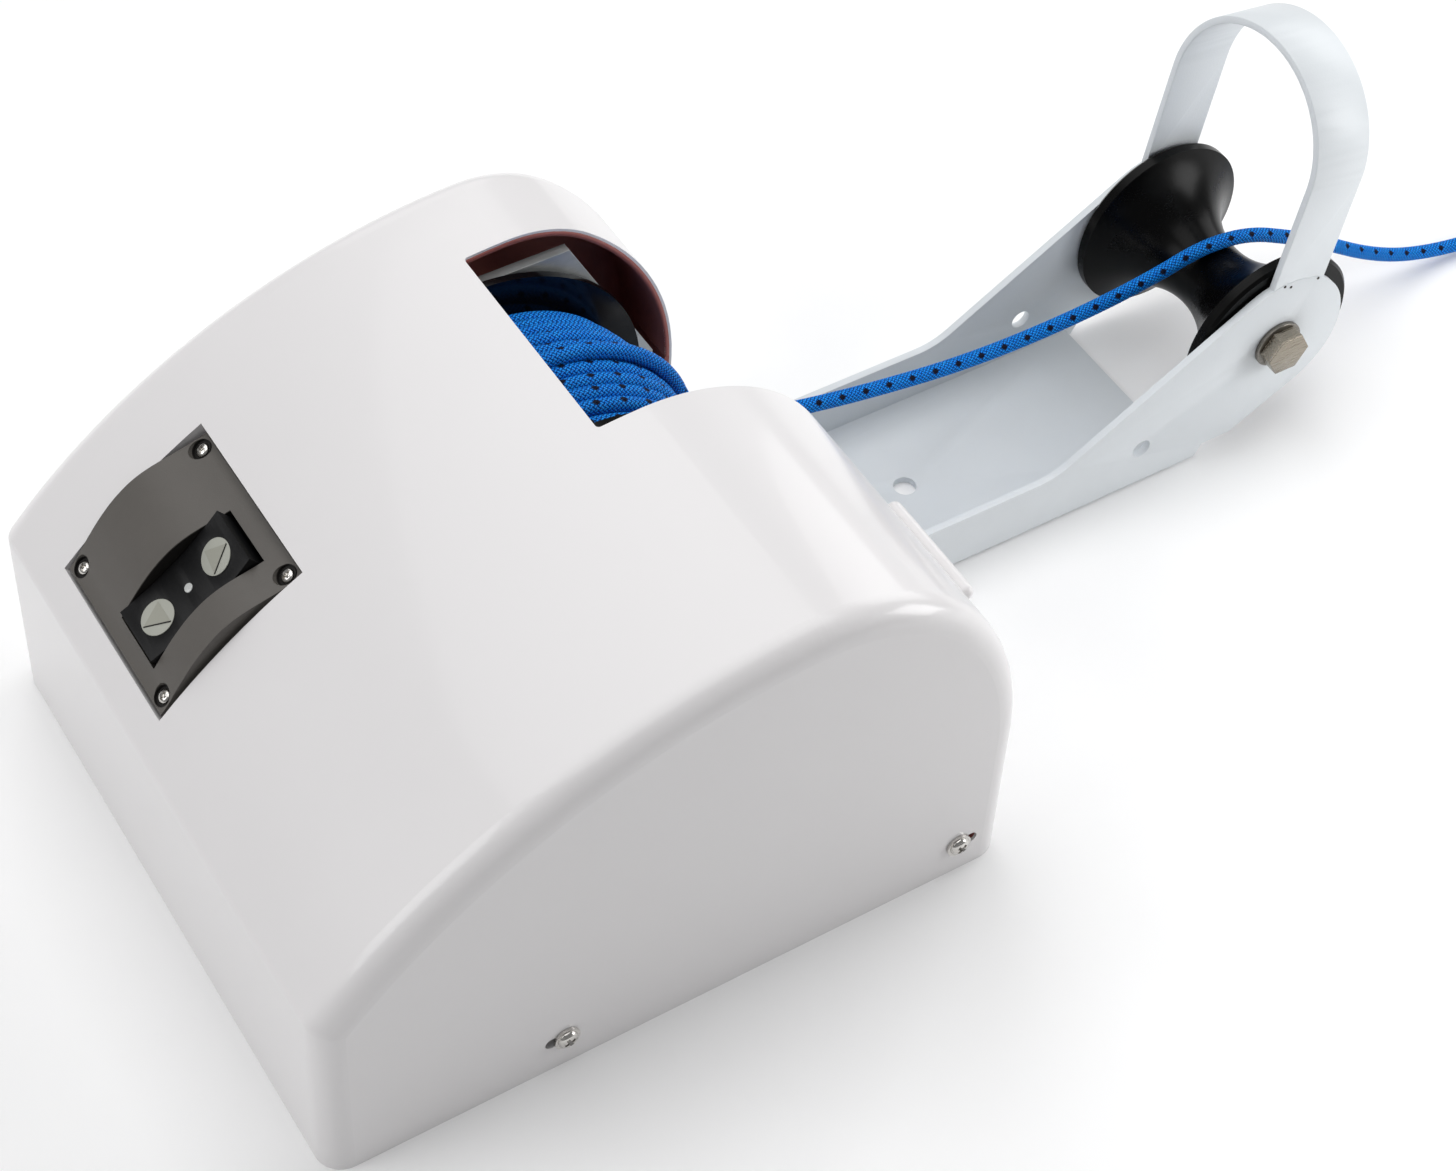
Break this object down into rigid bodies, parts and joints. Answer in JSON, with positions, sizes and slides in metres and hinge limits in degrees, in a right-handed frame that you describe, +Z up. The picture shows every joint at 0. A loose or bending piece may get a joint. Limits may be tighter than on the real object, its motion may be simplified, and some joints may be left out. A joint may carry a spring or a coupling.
{
  "type": "anchor windlass",
  "caption": "Covered electric drum windlass with a sloped control panel, a bow roller bracket with a hoop guard, and its anchor rope.",
  "frame": {"origin": "middle of the four deck bolt holes, at the deck face of the base plate", "axes": "+X towards the bow roller, the way the rope leaves; +Y towards the drum's far side plate; +Z up"},
  "size_m": [0.7572, 0.2558, 0.1732],
  "materials": {
    "cover_white": "glossy",
    "panel_grey": "satin",
    "bright_screw": "polished",
    "black_plastic": "satin",
    "disc_grey": "matt",
    "lamp_clear": "glossy",
    "galvanised": "satin",
    "gear_steel": "machined",
    "drum_black": "glossy",
    "rope_blue": "braided",
    "shaft_steel": "ground",
    "bush_brass": "machined",
    "cast_aluminium": "cast",
    "motor_paint": "satin",
    "rubber_black": "matt",
    "powder_white": "powder coat",
    "roller_black": "glossy",
    "bush_nylon": "matt",
    "ferrule_metal": "satin"
  },
  "bodies": {
    "frame": {"cover": "cover_white", "control_panel": "panel_grey", "panel_screws": "bright_screw", "switch_housing": "black_plastic", "base_plate": "galvanised", "far_bracket": "galvanised", "near_bracket": "galvanised", "gear_plate": "galvanised", "gear_spacers": "bright_screw", "gear_plate_screws": "bright_screw", "drum_bushes": "bush_brass", "idler_bushes": "bush_brass", "gearhead_case": "cast_aluminium", "motor_body": "motor_paint", "motor_end_cap": "black_plastic", "cable_grommet": "rubber_black", "cover_washers": "bright_screw", "cover_screws": "bright_screw", "cover_nuts": "bright_screw", "davit_channel": "powder_white", "hoop_guard": "powder_white", "roller_bolt": "bright_screw", "roller_washers": "bright_screw", "roller_nut": "bright_screw", "anchor_rope": "rope_blue", "rope_ferrule": "ferrule_metal", "rope_eye": "rope_blue", "rope_thimble": "ferrule_metal", "tongue_bolts": "bright_screw", "bracket_bolts": "bright_screw"},
    "drum": {"spool": "drum_black", "rope_winding": "rope_blue", "drum_shaft": "shaft_steel", "drum_gear": "gear_steel", "shaft_clips": "shaft_steel"},
    "idler": {"idler_gear": "gear_steel", "idler_shaft": "shaft_steel"},
    "motor_output": {"motor_pinion": "gear_steel", "motor_shaft": "shaft_steel"},
    "rocker": {"rocker_switch": "black_plastic", "rocker_discs": "disc_grey", "rocker_lamp": "lamp_clear"},
    "roller": {"bow_roller": "roller_black", "roller_bush": "bush_nylon"}
  },
  "joints": [
    {"name": "drum_spin", "type": "hinge", "parent": "frame", "child": "drum", "pos_m": [0.0305, 0.037, 0.091], "axis": [0, 1, 0], "continuous": true},
    {"name": "idler_spin", "type": "hinge", "parent": "frame", "child": "idler", "pos_m": [-0.04053, -0.02, 0.06], "axis": [0, 1, 0], "continuous": true},
    {"name": "motor_spin", "type": "hinge", "parent": "frame", "child": "motor_output", "pos_m": [-0.09057, -0.03, 0.036], "axis": [0, 1, 0], "continuous": true},
    {"name": "rocker_tilt", "type": "hinge", "parent": "frame", "child": "rocker", "pos_m": [-0.0925, 0.037, 0.10557], "axis": [0, 1, 0], "range_deg": [-6, 6], "stiffness_Nm_per_rad": 0.4},
    {"name": "roller_spin", "type": "hinge", "parent": "frame", "child": "roller", "pos_m": [0.3445, 0.037, 0.052], "axis": [0, 1, 0], "continuous": true}
  ],
  "couplings": [
    {"joint": "idler_spin", "follows": "drum_spin", "ratio": -4.1667},
    {"joint": "motor_spin", "follows": "drum_spin", "ratio": 17.857}
  ]
}
